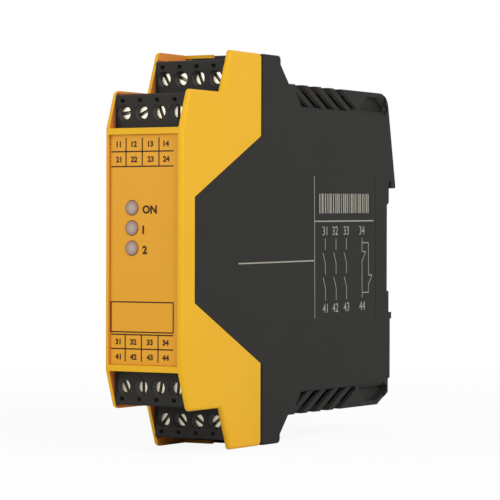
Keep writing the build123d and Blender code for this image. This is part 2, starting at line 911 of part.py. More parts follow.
def write(name, part):
    """Moves a piece from the front panel's frame to the rail seat and writes it."""
    placed = Pos(0, -seat_depth, 0) * part
    placed.label = name
    export_step(placed, f"parts/{name}.step")


def write_terminals(place):
    """Writes a plug, its contacts and header, and a screw and a cage for each pole."""
    row = 1 if place.endswith("rear") else 0
    below = place.startswith("bottom")

    def put(part):
        return mirrored(part) if below else part

    write(f"plug_body_{place}", put(make_plug_body(row)))
    write(f"plug_contacts_{place}", put(make_plug_contacts(row)))
    write(f"header_{place}", put(make_header(row)))
    for k, x in enumerate(pole_sides):
        angle = slot_angles[place][k % len(slot_angles[place])] * (-1 if below else 1)
        write(f"screw_{place}_{k + 1}", put(make_screw(row, x, angle)))
        write(f"cage_{place}_{k + 1}", put(make_cage(row, x)))


def main():
    os.makedirs("parts", exist_ok=True)
    write("front_cover", make_front_cover())
    write("rear_housing", make_rear_housing())
    write("front_label", make_front_label())
    write("light_guide", make_light_guide())
    write("rail_latch", make_latch())
    write("latch_spring", make_spring())
    for place in slot_angles:
        write_terminals(place)
    write("header_pins", make_pins())
    write("main_board", make_board())
    write("relay_a", make_relay(1))
    write("relay_b", make_relay(-1))
    write("supply_transformer", make_transformer())
    write("capacitors", make_capacitors())
    write("control_chips", make_chips())
    write("status_leds", make_leds())


main()
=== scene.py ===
# %% [markdown]
# A safety relay, dressed in Blender. The real object is a narrow module for a control cabinet: a golden
# yellow cover, a black housing behind it, two rows of plug-in screw terminals above and two below, and
# a film label with three lenses in front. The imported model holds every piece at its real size, so this
# script gives it surfaces, print and light, and the forms that are too fine for its solids: rounded
# edges, the threads of the screws and the closed turns of a spring. The front faces -Y, the width runs
# along X, and the height along Z.

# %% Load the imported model
import json
import math

import bmesh
import bpy
import numpy as np
from mathutils import Matrix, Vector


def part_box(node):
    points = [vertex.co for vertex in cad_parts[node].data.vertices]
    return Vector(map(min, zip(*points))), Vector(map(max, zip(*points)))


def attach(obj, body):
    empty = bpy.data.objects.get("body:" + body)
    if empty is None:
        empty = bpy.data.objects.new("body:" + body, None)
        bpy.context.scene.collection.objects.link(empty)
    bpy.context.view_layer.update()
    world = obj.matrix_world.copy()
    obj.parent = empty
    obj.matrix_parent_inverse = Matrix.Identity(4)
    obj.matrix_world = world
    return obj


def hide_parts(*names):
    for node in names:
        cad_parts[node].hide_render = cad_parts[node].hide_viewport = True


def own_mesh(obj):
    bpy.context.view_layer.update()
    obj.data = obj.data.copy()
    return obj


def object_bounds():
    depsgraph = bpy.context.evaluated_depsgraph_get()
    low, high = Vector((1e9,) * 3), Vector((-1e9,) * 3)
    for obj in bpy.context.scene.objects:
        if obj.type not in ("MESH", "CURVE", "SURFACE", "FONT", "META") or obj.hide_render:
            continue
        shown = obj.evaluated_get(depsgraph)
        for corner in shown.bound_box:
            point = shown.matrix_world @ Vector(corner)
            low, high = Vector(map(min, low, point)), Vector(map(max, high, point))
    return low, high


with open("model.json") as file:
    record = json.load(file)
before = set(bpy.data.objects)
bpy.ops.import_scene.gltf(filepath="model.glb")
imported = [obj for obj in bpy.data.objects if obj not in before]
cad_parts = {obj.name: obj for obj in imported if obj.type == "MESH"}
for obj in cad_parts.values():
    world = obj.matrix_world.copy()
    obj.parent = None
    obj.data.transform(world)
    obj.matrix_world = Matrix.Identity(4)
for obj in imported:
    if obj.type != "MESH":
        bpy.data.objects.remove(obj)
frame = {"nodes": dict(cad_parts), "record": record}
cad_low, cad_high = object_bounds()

MM = 0.001
nodes = frame["nodes"]
scene = bpy.context.scene
scene.view_settings.view_transform = "Standard"
size = [round((high - low) / MM, 2) for low, high in zip(cad_low, cad_high)]
print("pieces:", len(nodes), "width, depth and height in mm:", size)

# %% [markdown]
# The camera comes first, because everything else is judged through it. The photograph was taken from
# the front right, level with the middle, with a long lens. Its place was worked out from the corners of
# the object, so the direction, the distance and the focal length are real values here. The lens is
# given for a sensor 36 mm wide.

# %% Camera
AZIMUTH = math.radians(30.555)
ELEVATION = math.radians(0.322)
ROLL = math.radians(0.141)
AIM = np.array([-2.464, -52.2, -0.232]) * MM
DISTANCE = 659.361 * MM
LENS = 181.595
SENSOR = 36.0


def camera_axes(azimuth, elevation, roll):
    """Columns right, up and back. Back points from the aim to the camera, and roll turns the others."""
    level = math.cos(elevation)
    back = np.array([math.sin(azimuth) * level, -math.cos(azimuth) * level, math.sin(elevation)])
    right = np.cross(-back, [0, 0, 1])
    right /= np.linalg.norm(right)
    up = np.cross(right, -back)
    turned_right = right * math.cos(roll) + up * math.sin(roll)
    turned_up = up * math.cos(roll) - right * math.sin(roll)
    return np.array([turned_right, turned_up, back]).T


def set_up(thing, axes, place):
    """Puts a camera or a lamp at a place, turned so that its own axes are the columns of a matrix."""
    matrix = np.eye(4)
    matrix[:3, :3], matrix[:3, 3] = axes, place
    thing.matrix_world = Matrix(matrix.tolist())
    scene.collection.objects.link(thing)
    return thing


def make_camera():
    """Camera at the aim plus the distance along its back axis."""
    data = bpy.data.cameras.new("camera")
    data.sensor_width = SENSOR
    data.lens = LENS
    axes = camera_axes(AZIMUTH, ELEVATION, ROLL)
    scene.camera = set_up(bpy.data.objects.new("camera", data), axes, AIM + axes[:, 2] * DISTANCE)
    return scene.camera


camera = make_camera()
print("camera at, in m:", [round(c, 3) for c in camera.matrix_world.translation])

# %% [markdown]
# Two small tools serve every material. One turns an sRGB hex value into the linear colour that a shader
# works with. The other adds a node, sets it and links it, so that each material reads as a short recipe.

# %% Colour and node tools
def linear(code):
    """sRGB to linear: c / 12.92 up to 0.04045, and ((c + 0.055) / 1.055) to the power 2.4 above it."""
    values = [int(code[k:k + 2], 16) / 255 for k in (1, 3, 5)]
    return [c / 12.92 if c <= 0.04045 else ((c + 0.055) / 1.055) ** 2.4 for c in values] + [1.0]


def add(owner, kind, inputs=(), **settings):
    """Adds a shader node to a material or world and sets it. Inputs are values, or sockets to link."""
    tree = owner.node_tree
    node = tree.nodes.new("ShaderNode" + kind)
    for key, value in settings.items():
        setattr(node, key, value)
    for socket, value in dict(inputs).items():
        if isinstance(value, bpy.types.NodeSocket):
            tree.links.new(value, node.inputs[socket])
        else:
            node.inputs[socket].default_value = value
    return node


def blank(block):
    """Switches a new material or world to nodes and empties it."""
    block.use_nodes = True
    block.node_tree.nodes.clear()
    return block


print("linear yellow:", [round(c, 3) for c in linear("#E8B224")])

# %% [markdown]
# The photograph is a catalogue picture: pure white all round, soft light, and almost no shadow. A white
# floor and a white world show as white to the camera and in reflections, with a strength of 1 there. To
# everything else the world is only a gentle grey fill.

# %% Room
FILL = 0.47
FLOOR_REACH = 3.0
FLOOR_DROP = 0.05 * MM
FLOOR_SHOWN = 0.92
FADE_NEAR, FADE_FAR = 0.12, 0.35


def make_world():
    """White where the camera or a reflection looks at it, and a soft grey fill for everything else."""
    world = blank(bpy.data.worlds.new("studio"))
    path = add(world, "LightPath").outputs
    direct = add(world, "Math", {0: path["Is Camera Ray"], 1: path["Is Glossy Ray"]}, operation="MAXIMUM")
    seen = add(world, "Math", {0: direct.outputs[0], 1: path["Is Transmission Ray"]}, operation="MAXIMUM")
    strength = add(world, "MapRange", {"Value": seen.outputs[0], "To Min": FILL, "To Max": 1.0})
    light = add(world, "Background", {"Color": linear("#FFFFFF"), "Strength": strength.outputs["Result"]})
    add(world, "OutputWorld", {"Surface": light.outputs["Background"]})
    scene.world = world


def make_floor(height, reach):
    """
    A flat white square under the object. The camera sees FLOOR_SHOWN of plain white and the rest of
    real shadow, and from FADE_NEAR to FADE_FAR around the middle plain white grows to all of it.
    """
    mesh = bpy.data.meshes.new("floor")
    corners = [(x * reach, y * reach, height) for x, y in ((-1, -1), (1, -1), (1, 1), (-1, 1))]
    mesh.from_pydata(corners, [], [(0, 1, 2, 3)])
    floor = bpy.data.objects.new("floor", mesh)
    scene.collection.objects.link(floor)
    material = blank(bpy.data.materials.new("white paper floor"))
    path = add(material, "LightPath").outputs
    paper = add(material, "BsdfDiffuse", {"Color": linear("#F4F4F2")})
    glow = add(material, "Emission", {"Color": linear("#FFFFFF"), "Strength": 1.0})
    place = add(material, "TexCoord").outputs["Object"]
    far = add(material, "VectorMath", {0: place}, operation="LENGTH")
    fade = add(material, "MapRange", {
        "Value": far.outputs["Value"], "From Min": FADE_NEAR, "From Max": FADE_FAR,
        "To Min": FLOOR_SHOWN, "To Max": 1.0,
    })
    share = add(material, "Math", {0: path["Is Camera Ray"], 1: fade.outputs["Result"]},
                operation="MULTIPLY")
    mix = add(material, "MixShader", {0: share.outputs[0], 1: paper.outputs[0], 2: glow.outputs[0]})
    add(material, "OutputMaterial", {"Surface": mix.outputs[0]})
    mesh.materials.append(material)
    return floor


make_world()
floor = make_floor(cad_low[2] - FLOOR_DROP, FLOOR_REACH)
print("floor at", round(floor.data.vertices[0].co.z / MM, 2), "mm")

# %% [markdown]
# Real light comes from two large soft panels, as from the soft boxes of a photographer. An area lamp
# does the same, and a larger one gives softer shadows. The panel on the right is the stronger, because
# in the photograph the yellow side is a little lighter than the front.

# %% Lamps
# Each lamp's place and width in metres, and its power in watts
PANELS = {
    "panel_right": ((0.65, -0.29, 0.38), 0.5, 3.5),
    "panel_left": ((-0.35, -0.75, 0.30), 0.6, 2.1),
}


def make_panel(name, place, width, power):
    """A square area lamp that looks at the middle of the object."""
    data = bpy.data.lights.new(name, "AREA")
    data.shape = "SQUARE"
    data.size = width
    data.energy = power
    back = np.array(place) - AIM
    back /= np.linalg.norm(back)
    right = np.cross([0, 0, 1], back)
    right /= np.linalg.norm(right)
    axes = np.array([right, np.cross(back, right), back]).T
    return set_up(bpy.data.objects.new(name, data), axes, place)


panels = [make_panel(name, *how) for name, how in PANELS.items()]
print("lamps:", len(panels))

# %% [markdown]
# Moulded plastic covers nearly everything here. Its surface is a copy of a steel mould that was eroded
# by sparks, so it has a fine even grain and a satin shine, and flow in the mould leaves its colour a
# little uneven over some ten millimetres. The real grain is about 0.05 mm, too fine for the picture, so
# it is drawn at 0.25 mm and very shallow.

# %% Moulded plastic
DRAWN_GRAIN = 0.25 * MM
FLOW = 14.0 * MM
GRAIN_SPREAD = 0.05
# A noise texture seldom leaves this range.
NOISE_LOW, NOISE_HIGH = 0.3, 0.7
# The grain shades itself, so the surface mirrors less than a polished one, whose level is 0.5.
SATIN = 0.15


def moulded(name, colour, shade, roughness=0.45, depth=0.004 * MM, ior=1.5):
    """Spark-eroded plastic: flow mixes two near shades, and grain tilts and dulls the surface."""
    material = blank(bpy.data.materials.new(name))
    place = add(material, "TexCoord").outputs["Object"]
    flow = add(material, "TexNoise", {
        "Vector": place, "Scale": 1 / FLOW, "Detail": 2.0, "Roughness": 0.5,
    })
    tint = add(material, "MixRGB", {
        "Fac": flow.outputs["Fac"], "Color1": linear(colour), "Color2": linear(shade),
    })
    speck = add(material, "TexNoise", {
        "Vector": place, "Scale": 1 / DRAWN_GRAIN, "Detail": 3.0, "Roughness": 0.6,
    })
    gloss = add(material, "MapRange", {
        "Value": speck.outputs["Fac"], "From Min": NOISE_LOW, "From Max": NOISE_HIGH,
        "To Min": roughness - GRAIN_SPREAD, "To Max": roughness + GRAIN_SPREAD,
    })
    bump = add(material, "Bump", {"Height": speck.outputs["Fac"], "Distance": depth, "Strength": 1.0})
    surface = add(material, "BsdfPrincipled", {
        "Base Color": tint.outputs["Color"], "Roughness": gloss.outputs["Result"], "IOR": ior,
        "Specular IOR Level": SATIN, "Normal": bump.outputs["Normal"],
    })
    add(material, "OutputMaterial", {"Surface": surface.outputs["BSDF"]})
    return material


finishes = {
    # Filled polyamide from a coarse mould looks deep, dull and faintly warm. The plugs' grain is finer.
    "black_housing": moulded("moulded black polyamide", "#262523", "#22211F", 0.58, 0.006 * MM),
    "plug_plastic": moulded("moulded plug polyamide", "#292725", "#252320", 0.5, 0.005 * MM),
    "latch_plastic": moulded("moulded latch polyamide", "#2B2A28", "#252422", 0.5),
    # Film printed from behind shows an even colour under a calm, smooth gloss.
    "label_film": moulded("printed polyester film", "#E1A12B", "#DE9D27", 0.36, 0.001 * MM, 1.57),
    # The relays' cases are pale and a little waxy, and the chips are matt, like fine sandpaper.
    "relay_case": moulded("moulded relay case polyester", "#D9D5CB", "#D2CEC3", 0.4),
    "chip_epoxy": moulded("moulded chip epoxy", "#232325", "#1E1E20", 0.6, 0.004 * MM),
}
print("plastics:", len(finishes))

# %% [markdown]
# Light and shade are painted onto some places of a moulding, so two helpers lay another colour over a
# finish there. One says where a box around a place is. The relay is the same above and below, so the
# box is given for the upper half and serves both. The other mixes the new colour over the first.

# %% Places on a moulding
def in_box(material, low, high):
    """1 inside a box of (x, y, |z|), where the largest of |place - middle| - half size is below 0."""
    place = add(material, "SeparateXYZ", {0: add(material, "TexCoord").outputs["Object"]}).outputs
    height = add(material, "Math", {0: place["Z"]}, operation="ABSOLUTE")
    folded = add(material, "CombineXYZ", {"X": place["X"], "Y": place["Y"], "Z": height.outputs[0]})
    middle = [(a + b) / 2 for a, b in zip(low, high)]
    half = [(b - a) / 2 for a, b in zip(low, high)]
    offset = add(material, "VectorMath", {0: folded.outputs[0], 1: middle}, operation="SUBTRACT")
    reach = add(material, "VectorMath", {0: offset.outputs[0]}, operation="ABSOLUTE")
    spare = add(material, "VectorMath", {0: reach.outputs[0], 1: half}, operation="SUBTRACT")
    x, y, z = add(material, "SeparateXYZ", {0: spare.outputs[0]}).outputs
    largest = add(material, "Math", {0: x, 1: y}, operation="MAXIMUM")
    largest = add(material, "Math", {0: largest.outputs[0], 1: z}, operation="MAXIMUM")
    return add(material, "Math", {0: largest.outputs[0], 1: 0.0}, operation="LESS_THAN").outputs[0]


def overlay(material, share, colour):
    """Mixes a colour over the base colour of a finish, by a share from 0 to 1."""
    surface = material.node_tree.nodes["Principled BSDF"].inputs["Base Color"]
    before = surface.links[0].from_socket
    tint = add(material, "MixRGB", {"Fac": share, "Color1": before, "Color2": colour})
    material.node_tree.links.new(tint.outputs["Color"], surface)
    return material


plug_low, plug_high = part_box("plug_body_top_front")
rear_plug_low, rear_plug_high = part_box("plug_body_top_rear")
print("front plugs start at", round(plug_low.y / MM, 2), "rear plugs at", round(rear_plug_low.y / MM, 2))

# %% [markdown]
# The golden cover is an open frame of thin walls, and polyamide lets a little light through. Light that
# reaches an inner face has crossed a wall or left another golden face first, so these faces look a
# deeper orange, and darker again where they run back between the wall and a plug. Both are painted into
# the colour: painted bounce light in orange on the inner faces, and painted shade beside a plug. A face
# is an inner one when its normal points at the middle plane, which is X = 0 here.

# %% Golden cover
# The painted bounce light of an inner face, the painted shade beside a plug, and how far in front of
# the plug that shade starts
PAINTED_BOUNCE_LIGHT, PAINTED_SHADE_BESIDE_PLUG, PAINTED_SHADE_REACH = "#DF8A38", "#8F4C30", 2.6 * MM
INWARD_FROM, INWARD_FULL = -0.3, -0.7


def painted_shade_beside_plug(material, place, height, low, high):
    """Painted shade from 0 in front of a plug to 1 where its front face starts, up to the top of the plug.
    """
    depth = add(material, "MapRange", {
        "Value": place["Y"], "From Min": low.y - PAINTED_SHADE_REACH, "From Max": low.y,
    }).outputs["Result"]
    level = add(material, "Math", {0: height, 1: high.z}, operation="LESS_THAN").outputs[0]
    return add(material, "Math", {0: depth, 1: level}, operation="MULTIPLY").outputs[0]


def golden_cover():
    """Moulded finish, mixed towards painted bounce light by how far a face points at the middle plane."""
    material = moulded("moulded golden polyamide", "#E8B224", "#E3AB1F", 0.42)
    coordinates = add(material, "TexCoord").outputs
    place = add(material, "SeparateXYZ", {0: coordinates["Object"]}).outputs
    normal = add(material, "SeparateXYZ", {0: coordinates["Normal"]}).outputs
    side = add(material, "Math", {0: place["X"]}, operation="SIGN")
    inward = add(material, "Math", {0: side.outputs[0], 1: normal["X"]}, operation="MULTIPLY")
    facing = add(material, "MapRange", {
        "Value": inward.outputs[0], "From Min": INWARD_FROM, "From Max": INWARD_FULL,
    })
    height = add(material, "Math", {0: place["Z"]}, operation="ABSOLUTE").outputs[0]
    front = painted_shade_beside_plug(material, place, height, plug_low, plug_high)
    rear = painted_shade_beside_plug(material, place, height, rear_plug_low, rear_plug_high)
    shade_share = add(material, "Math", {0: front, 1: rear}, operation="MAXIMUM")
    # Painted light: orange bounce light on the inner faces, turning to painted shade beside a plug.
    painted_light = add(material, "MixRGB", {
        "Fac": shade_share.outputs[0], "Color1": linear(PAINTED_BOUNCE_LIGHT), "Color2": linear(PAINTED_SHADE_BESIDE_PLUG),
    })
    return overlay(material, facing.outputs["Result"], painted_light.outputs["Color"])


finishes["yellow_cover"] = golden_cover()
print("finishes:", len(finishes))

# %% [markdown]
# Bores, test holes and vents are dark, but not black: their walls were formed by smooth pins that were
# drawn out of the moulding, so they have no grain and shine a little, and each sends light on to the
# next. A render keeps few of these many small bounces, so the walls inside are painted a lighter grey:
# painted bounce light.
# The pocket behind the vents is shallow, and only its floor turns outwards, so that floor gets painted
# shade. The vents below the middle get painted shade too, and are darker than those above.

# %% Walls inside the black mouldings
# The painted bounce light inside the bores, and how deep it grows
PAINTED_BORE_LIGHT, BORE_DEPTH = "#7C7A76", 1.9 * MM
# The vents' painted bounce light, and their painted shade below the middle
PAINTED_VENT_LIGHT, PAINTED_VENT_SHADE_BELOW = "#565451", "#32312F"
# The painted shade of the pocket floor. The floor is told by its normal, whose X is more than this.
PAINTED_POCKET_SHADE, FLOOR_TURN = "#1F1E1C", 0.5
# These keep the outer faces out of the boxes.
SKIN = 0.15 * MM
EDGE = 0.3 * MM
# The band with the vents and the pocket runs from front to rear, a little deeper than the side.
BAND_FRONT, BAND_REAR = 52.0 * MM, 106.1 * MM
BAND_LOW, BAND_HIGH = 30.0 * MM, 42.7 * MM
BAND_RECESS = 0.4 * MM
# The rear corner is cut off by a chamfer that falls half a millimetre for each one it runs back.
CHAMFER_FRONT, CHAMFER_FALL = 101.2 * MM, 0.5
housing_low, housing_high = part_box("rear_housing")


def paint_bore_light(low, high):
    """Painted bounce light: grey grows from a plug's front face to the screw heads' depth, in the plug's
    box.
    """
    material = finishes["plug_plastic"]
    inner = in_box(material, (low.x + EDGE, low.y + SKIN, low.z + EDGE),
                   (high.x - EDGE, high.y - EDGE, high.z - EDGE))
    place = add(material, "SeparateXYZ", {0: add(material, "TexCoord").outputs["Object"]}).outputs
    depth = add(material, "MapRange", {
        "Value": place["Y"], "From Min": low.y, "From Max": low.y + BORE_DEPTH,
    })
    share = add(material, "Math", {0: inner, 1: depth.outputs["Result"]}, operation="MULTIPLY")
    overlay(material, share.outputs[0], linear(PAINTED_BORE_LIGHT))


def paint_vent_light_and_shade():
    """Painted light on the walls of vents and pocket, painted shade below the middle and on the pocket
    floor.
    """
    material = finishes["black_housing"]
    inset = BAND_RECESS + SKIN
    band = in_box(material, (housing_low.x + inset, cad_low.y + BAND_FRONT, BAND_LOW),
                  (housing_high.x - inset, cad_low.y + BAND_REAR, BAND_HIGH - SKIN))
    coordinates = add(material, "TexCoord").outputs
    place = add(material, "SeparateXYZ", {0: coordinates["Object"]}).outputs
    normal = add(material, "SeparateXYZ", {0: coordinates["Normal"]}).outputs
    sideways = add(material, "Math", {0: normal["X"]}, operation="ABSOLUTE")
    floor_face = add(material, "Math", {0: sideways.outputs[0], 1: FLOOR_TURN}, operation="GREATER_THAN")
    # What lies within a skin of the chamfer is left out.
    past = add(material, "Math", {0: place["Y"], 1: cad_low.y + CHAMFER_FRONT}, operation="SUBTRACT")
    past = add(material, "Math", {0: past.outputs[0], 1: 0.0}, operation="MAXIMUM")
    height = add(material, "Math", {0: place["Z"]}, operation="ABSOLUTE")
    level = add(material, "Math", {0: past.outputs[0], 1: CHAMFER_FALL, 2: height.outputs[0]},
                operation="MULTIPLY_ADD")
    under = add(material, "Math", {0: level.outputs[0], 1: BAND_HIGH - SKIN}, operation="LESS_THAN")
    share = add(material, "Math", {0: band, 1: under.outputs[0]}, operation="MULTIPLY")
    # Painted shade: the vents below the middle are darker than those above.
    below = add(material, "Math", {0: place["Z"], 1: 0.0}, operation="LESS_THAN")
    wall = add(material, "MixRGB", {
        "Fac": below.outputs[0], "Color1": linear(PAINTED_VENT_LIGHT), "Color2": linear(PAINTED_VENT_SHADE_BELOW),
    })
    colour = add(material, "MixRGB", {
        "Fac": floor_face.outputs[0], "Color1": wall.outputs["Color"], "Color2": linear(PAINTED_POCKET_SHADE),
    })
    overlay(material, share.outputs[0], colour.outputs["Color"])


paint_bore_light(plug_low, plug_high)
paint_bore_light(rear_plug_low, rear_plug_high)
paint_vent_light_and_shade()
print("bores:", round(BORE_DEPTH / MM, 2), "mm deep")

# %% [markdown]
# The metals are turned, drawn or stamped, and each of these ways leaves fine lines. Screws are nickel-
# plated steel, cages are zinc-plated and passivated to a faint yellow, contacts are tinned. The lines
# of a lathe are about 0.02 mm apart, drawn here at 0.12 mm so that they show at all. A wave along one
# axis gives the lines, and a noise over it breaks them up.

# %% Metals
TOOL_LINES = 0.12 * MM
PLATING_CLOUD = 1.5 * MM
LINE_SPREAD = 0.06


def metal(name, colour, shade, roughness, axis="X", depth=0.002 * MM):
    """Plated metal: broken lines across one axis tilt and dull the surface, and noise tints it."""
    material = blank(bpy.data.materials.new(name))
    place = add(material, "TexCoord").outputs["Object"]
    lines = add(material, "TexWave", {
        "Vector": place, "Scale": 1 / (TOOL_LINES * 2 * math.pi), "Distortion": 1.5, "Detail": 2.0,
    }, wave_type="BANDS", bands_direction=axis)
    cloud = add(material, "TexNoise", {"Vector": place, "Scale": 1 / PLATING_CLOUD, "Detail": 3.0})
    tint = add(material, "MixRGB", {
        "Fac": cloud.outputs["Fac"], "Color1": linear(colour), "Color2": linear(shade),
    })
    gloss = add(material, "MapRange", {
        "Value": lines.outputs["Fac"],
        "To Min": roughness - LINE_SPREAD, "To Max": roughness + LINE_SPREAD,
    })
    bump = add(material, "Bump", {"Height": lines.outputs["Fac"], "Distance": depth, "Strength": 1.0})
    surface = add(material, "BsdfPrincipled", {
        "Base Color": tint.outputs["Color"], "Metallic": 1.0, "Roughness": gloss.outputs["Result"],
        "Normal": bump.outputs["Normal"],
    })
    add(material, "OutputMaterial", {"Surface": surface.outputs["BSDF"]})
    return material


finishes.update({
    # Nickel is a warm white, passivated zinc a faint yellow grey, and tin the whitest of the three.
    "nickel_screw": metal("turned nickel-plated steel", "#D8D2C4", "#C6BFB0", 0.34),
    "zinc_cage": metal("stamped zinc-plated steel", "#C9C6B4", "#B9B7A8", 0.4, "Z"),
    "tinned_contact": metal("stamped tinned bronze", "#D2D2CE", "#C2C2C0", 0.32, "Y"),
    "header_pin": metal("drawn tinned wire", "#D6D3C8", "#C8C5BA", 0.28, "Y"),
    "spring_steel": metal("drawn spring steel", "#A9A8A6", "#8F8E8D", 0.3, "Z"),
    # What lies on the board shows only through the vents: glossy sleeves, tape, epoxy and solder mask.
    "capacitor_sleeve": moulded("shrunk vinyl sleeve", "#26324F", "#212C47", 0.35, 0.001 * MM, 1.53),
    "transformer_core": moulded("varnished winding tape", "#C9A23E", "#B88F30", 0.45, 0.003 * MM),
    "led_epoxy": moulded("cast diffuse epoxy", "#C9D6BF", "#BFCDB5", 0.3, 0.001 * MM, 1.53),
    "board_laminate": moulded("solder mask on laminate", "#1F5A3A", "#1B5034", 0.35, 0.002 * MM, 1.53),
})
print("finishes:", len(finishes))

# %% [markdown]
# The three lenses are the ends of one clear polycarbonate light guide. Unlit, they look grey and a
# little pink, because one sees down a frosted rod into the dark module, and the rod's far end shines
# back greener in the middle. All three stand in one line, so wrapping the height by their spacing gives
# one distance that serves each lens.

# %% Lenses
LENS_PITCH = 4.9 * MM
# The colours are painted light: what the rod sends back, greener at the core and darker towards the rim.
CORE, MIDDLE, RIM = "#A9A692", "#AB9388", "#8A665E"
MIDDLE_AT = 0.45
FROST, FROST_DEPTH = 0.5 * MM, 0.002 * MM
guide_low, guide_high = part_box("light_guide")
LENS_RADIUS = (guide_high.x - guide_low.x) / 2


def light_guide():
    """Polycarbonate with painted light by the distance from a lens's axis, from a greenish core to a dark
    rim.
    """
    material = blank(bpy.data.materials.new("moulded light guide polycarbonate"))
    spot = add(material, "TexCoord").outputs["Object"]
    place = add(material, "SeparateXYZ", {0: spot}).outputs
    side = add(material, "Math", {0: place["X"], 1: guide_low.x + LENS_RADIUS}, operation="SUBTRACT")
    rise = add(material, "Math", {0: place["Z"], 1: guide_high.z - LENS_RADIUS}, operation="SUBTRACT")
    near = add(material, "Math", {0: rise.outputs[0], 1: LENS_PITCH / 2, 2: -LENS_PITCH / 2},
               operation="WRAP")
    offset = add(material, "CombineXYZ", {"X": side.outputs[0], "Y": near.outputs[0]})
    reach = add(material, "VectorMath", {0: offset.outputs[0]}, operation="LENGTH")
    share = add(material, "Math", {0: reach.outputs["Value"], 1: LENS_RADIUS}, operation="DIVIDE")
    ramp = add(material, "ValToRGB", {"Fac": share.outputs[0]})
    ramp.color_ramp.elements[0].color = linear(CORE)
    ramp.color_ramp.elements[1].color = linear(RIM)
    ramp.color_ramp.elements.new(MIDDLE_AT).color = linear(MIDDLE)
    frost = add(material, "TexNoise", {"Vector": spot, "Scale": 1 / FROST})
    bump = add(material, "Bump", {
        "Height": frost.outputs["Fac"], "Distance": FROST_DEPTH, "Strength": 1.0,
    })
    surface = add(material, "BsdfPrincipled", {
        "Base Color": ramp.outputs["Color"], "Roughness": 0.28, "IOR": 1.58, "Specular IOR Level": 0.3,
        "Normal": bump.outputs["Normal"],
    })
    add(material, "OutputMaterial", {"Surface": surface.outputs["BSDF"]})
    return material


finishes["clear_lens"] = light_guide()
print("lens radius in mm:", round(LENS_RADIUS / MM, 2))

# %% [markdown]
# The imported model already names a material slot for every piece. So one loop dresses all of them: each
# CAD object keeps its mesh, and its slots get the finish of that name.

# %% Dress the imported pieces
slot_of = {part["node"]: part["material_slot"] for part in frame["record"]["subparts"]}
for name, piece in nodes.items():
    if not piece.data.materials:
        piece.data.materials.append(None)
    for k in range(len(piece.material_slots)):
        piece.material_slots[k].material = finishes[slot_of[name]]
print("dressed:", len(slot_of))

# %% [markdown]
# New pieces are closed meshes worked out with numpy. A grid of points in rows and columns becomes
# quads. Where a grid narrows to a point or an edge, its points meet, so the helper merges what
# coincides, turns all faces outwards, and hangs the object on its body.

# %% Mesh helpers
MERGE = 0.001 * MM


def grid_faces(rows, columns, start=0):
    """Quads between neighbours of a grid of points that are numbered row by row from start."""
    number = np.arange(rows * columns).reshape(rows, columns) + start
    corners = number[:-1, :-1], number[1:, :-1], number[1:, 1:], number[:-1, 1:]
    return np.stack([corner.ravel() for corner in corners], axis=1)


def shell(*grids):
    """One list of points and one of faces from several grids of shape (rows, columns, 3)."""
    starts = np.cumsum([0] + [grid.shape[0] * grid.shape[1] for grid in grids])
    points = np.concatenate([grid.reshape(-1, 3) for grid in grids])
    faces = np.concatenate([grid_faces(*grid.shape[:2], start) for grid, start in zip(grids, starts)])
    return points, faces


def points_of(mesh):
    """All points of a mesh as one array of shape (points, 3)."""
    points = np.empty(len(mesh.vertices) * 3)
    mesh.vertices.foreach_get("co", points)
    return points.reshape(-1, 3)


def weld(mesh, flat=None):
    """Merges points that coincide, joins faces that turn by less than flat, and turns all outwards."""
    work = bmesh.new()
    work.from_mesh(mesh)
    bmesh.ops.remove_doubles(work, verts=work.verts, dist=MERGE)
    if flat is not None:
        bmesh.ops.dissolve_limit(work, angle_limit=flat, verts=work.verts, edges=work.edges)
    bmesh.ops.recalc_face_normals(work, faces=work.faces)
    work.to_mesh(mesh)
    work.free()


def make_piece(name, points, faces, finish, body, slot, smooth_angle=None):
    """Object at the origin, its place in its mesh, that rides on a body. The slot argument is not used."""
    mesh = bpy.data.meshes.new(name)
    mesh.from_pydata(points.tolist(), [], faces.tolist())
    weld(mesh)
    if smooth_angle is not None:
        mesh.shade_smooth()
        mesh.set_sharp_from_angle(angle=smooth_angle)
    mesh.materials.append(finishes[finish])
    piece = bpy.data.objects.new(name, mesh)
    scene.collection.objects.link(piece)
    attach(piece, body)
    return piece


print("quads of a 3 by 4 grid:", len(grid_faces(3, 4)))

# %% [markdown]
# No moulded edge is sharp: the mould's own edges are worn and polished round, and a thin line of light
# runs along them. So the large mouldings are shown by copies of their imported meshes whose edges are
# rounded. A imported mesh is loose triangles, so the copy is merged and its flat faces are joined before
# the Bevel modifier.

# %% Rounded mouldings
# The body that each moulding rides on, and how wide its rounding is
ROUNDED = {
    "front_cover": ("housing", 0.22 * MM),
    "rear_housing": ("housing", 0.18 * MM),
    **{f"plug_body_{row}": (f"plug_{row}", 0.22 * MM)
       for row in ("top_front", "top_rear", "bottom_front", "bottom_rear")},
}
# Faces that turn by less than FLAT are joined, and edges that turn by more than SHARP are rounded.
FLAT = math.radians(0.5)
SHARP = math.radians(50)
BEVEL_STEPS = 2


def keep_in_box(piece, name):
    """Makes the modifier's result the mesh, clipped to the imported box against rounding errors."""
    mesh = bpy.data.meshes.new_from_object(piece.evaluated_get(bpy.context.evaluated_depsgraph_get()))
    mesh.vertices.foreach_set("co", np.clip(points_of(mesh), *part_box(name)).ravel())
    piece.modifiers.clear()
    piece.data = mesh


def rounded(name, body, width):
    """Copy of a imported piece, merged, with its flat faces joined and its sharp edges rounded."""
    mesh = nodes[name].data.copy()
    weld(mesh, FLAT)
    piece = bpy.data.objects.new(f"rounded_{name}", mesh)
    piece.material_slots[0].material = finishes[slot_of[name]]
    scene.collection.objects.link(piece)
    bevel = piece.modifiers.new("edges", "BEVEL")
    bevel.width = width
    bevel.segments = BEVEL_STEPS
    bevel.limit_method = "ANGLE"
    bevel.angle_limit = SHARP
    keep_in_box(piece, name)
    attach(piece, body)
    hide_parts(name)
    return piece


